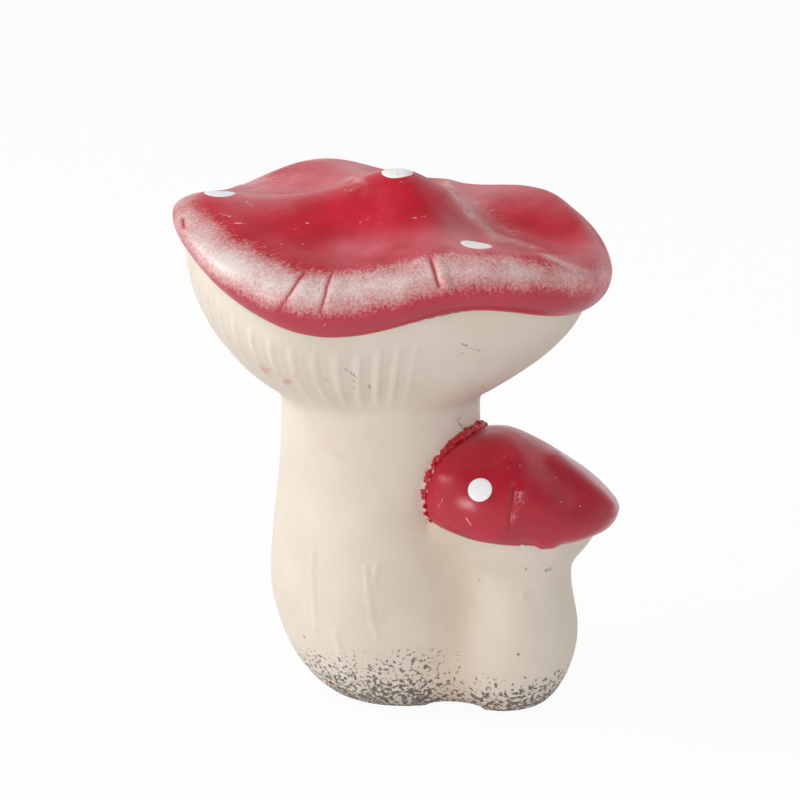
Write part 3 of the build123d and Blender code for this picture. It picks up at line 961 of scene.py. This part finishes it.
def white_enamel():
    """Thick white enamel, dabbed on, with a soft gloss and a few dark pinholes."""
    material, tree, place = new_material("dabbed_white_enamel")
    mottle = add(tree, "ShaderNodeTexNoise", {}, {"Vector": place, **ENAMEL_MOTTLE})
    white = add(
        tree, "ShaderNodeMix", COLOURS, {SHARE: mottle, FIRST: linear("#F6F6F8"), SECOND: linear("#FEFEFE")}
    )
    cells = add(tree, "ShaderNodeTexVoronoi", {}, {"Vector": place, **ENAMEL_PINHOLES}).outputs["Distance"]
    pin = add(tree, "ShaderNodeMapRange", {}, {"Value": cells, **ENAMEL_PINHOLE_EDGE})
    pricked = add(
        tree, "ShaderNodeMix", COLOURS, {SHARE: pin, FIRST: white.outputs[MIXED], SECOND: linear("#8A7F80")}
    )
    relief = add(tree, "ShaderNodeBump", {}, {"Height": mottle, **ENAMEL_RELIEF})
    coat(
        tree,
        {
            "Base Color": pricked.outputs[MIXED], "Roughness": ENAMEL_ROUGHNESS,
            "IOR": GLAZE_INDEX, "Normal": relief,
        },
    )
    return material


def paper_floor():
    """A white floor that glows by itself but still keeps a soft shadow."""
    bm = bmesh.new()
    bmesh.ops.create_grid(bm, x_segments=1, y_segments=1, size=FLOOR_SIZE * MM / 2)
    mesh = bpy.data.meshes.new("floor")
    bm.to_mesh(mesh)
    bm.free()
    linked("floor", mesh)
    paper = bpy.data.materials.new("white_paper")
    tree = bare_tree(paper)
    path = add(tree, "ShaderNodeLightPath", {}, {})
    matte = add(tree, "ShaderNodeBsdfDiffuse", {}, {"Color": linear("#F4F4F4")})
    glow = add(tree, "ShaderNodeEmission", {}, {"Color": linear("#FFFFFF"), "Strength": 1.0})
    seen = add(
        tree, "ShaderNodeMath", {"operation": "MAXIMUM"},
        {0: path.outputs["Is Camera Ray"], 1: path.outputs["Is Glossy Ray"]},
    )
    share = add(tree, "ShaderNodeMath", {"operation": "MULTIPLY"}, {0: seen, 1: FLOOR_GLOW})
    both = add(tree, "ShaderNodeMixShader", {}, {0: share, 1: matte, 2: glow})
    add(tree, "ShaderNodeOutputMaterial", {}, {"Surface": both})
    mesh.materials.append(paper)


def white_surround():
    """White walls under a dimmer ceiling, which the camera sees as plain white."""
    world = bpy.data.worlds.new("white_surround")
    bpy.context.scene.world = world
    tree = bare_tree(world)
    path = add(tree, "ShaderNodeLightPath", {}, {})
    way = add(tree, "ShaderNodeTexCoord", {}, {})
    climb = add(tree, "ShaderNodeSeparateXYZ", {}, {0: way.outputs["Generated"]})
    ceiling = add(tree, "ShaderNodeMapRange", {}, {"Value": climb.outputs["Z"], **CEILING})
    strength = add(
        tree, "ShaderNodeMix", {"data_type": "FLOAT"},
        {0: path.outputs["Is Camera Ray"], 2: ceiling, 3: 1.0},
    )
    surround = add(tree, "ShaderNodeBackground", {}, {"Color": linear("#FFFFFF"), "Strength": strength})
    add(tree, "ShaderNodeOutputWorld", {}, {"Surface": surround})


def lamps():
    """The round lamps, turned to the ornament."""
    for name, place, size, energy in LAMPS:
        lamp = bpy.data.lights.new(name, "AREA")
        lamp.shape = "DISK"
        lamp.size = size * MM
        lamp.energy = energy
        holder = linked(name, lamp)
        holder.location = Vector(place) * MM
        holder.rotation_euler = (Vector(AIM) * MM - holder.location).to_track_quat("-Z", "Y").to_euler()


def camera():
    """The camera, in front of the ornament and a little above it."""
    lens = bpy.data.cameras.new("camera")
    lens.lens = LENS
    viewer = linked("camera", lens)
    back = Vector((0.0, -cos(CAMERA_RISE), sin(CAMERA_RISE))) * CAMERA_DISTANCE
    viewer.location = (Vector(AIM) + back) * MM
    viewer.rotation_euler = (-back).to_track_quat("-Z", "Y").to_euler()
    bpy.context.scene.camera = viewer
    bpy.context.scene.view_settings.view_transform = "Standard"


def main():
    """Makes the materials, the pieces of the ornament and the studio."""
    brushed = red_paint(
        "brushed_red_paint", HEAD_AXIS, dark="#BE0A24", bright="#CE1230", roughness=0.34, veiled=0.7
    )
    glossy = red_paint(
        "glossy_red_paint", SMALL_HEAD_AXIS, dark="#AE0A26", bright="#C01030", roughness=0.22, veiled=0.25
    )
    clay, enamel = cream_clay(), white_enamel()
    large_cap = new_piece("large_cap_paint", wrapped_cap(LARGE_CAP, large_cap_marks), brushed, "large_cap")
    small_top = tucked(wrapped_cap(SMALL_CAP, small_cap_marks))
    small_cap = new_piece("small_cap_paint", small_top, glossy, "small_cap")
    skin = clay_skin()
    for number in range(len(CLAY_NODES)):
        clay_piece(skin, number, clay)
    skin.free()
    new_piece("cap_slip_crumbs", slip_crumbs(small_cap.data), glossy, "cap_slip_bead")
    large_dots = enamel_dots(LARGE_CAP, large_cap.data, DOT_PLACES, DOT_RADIUS)
    new_piece("large_enamel_dots", large_dots, enamel, "large_cap_dots")
    small_dots = enamel_dots(SMALL_CAP, small_cap.data, SMALL_DOT_PLACES, SMALL_DOT_RADIUS)
    new_piece("small_enamel_dots", small_dots, enamel, "small_cap_dots")
    paper_floor()
    white_surround()
    lamps()
    camera()


main()
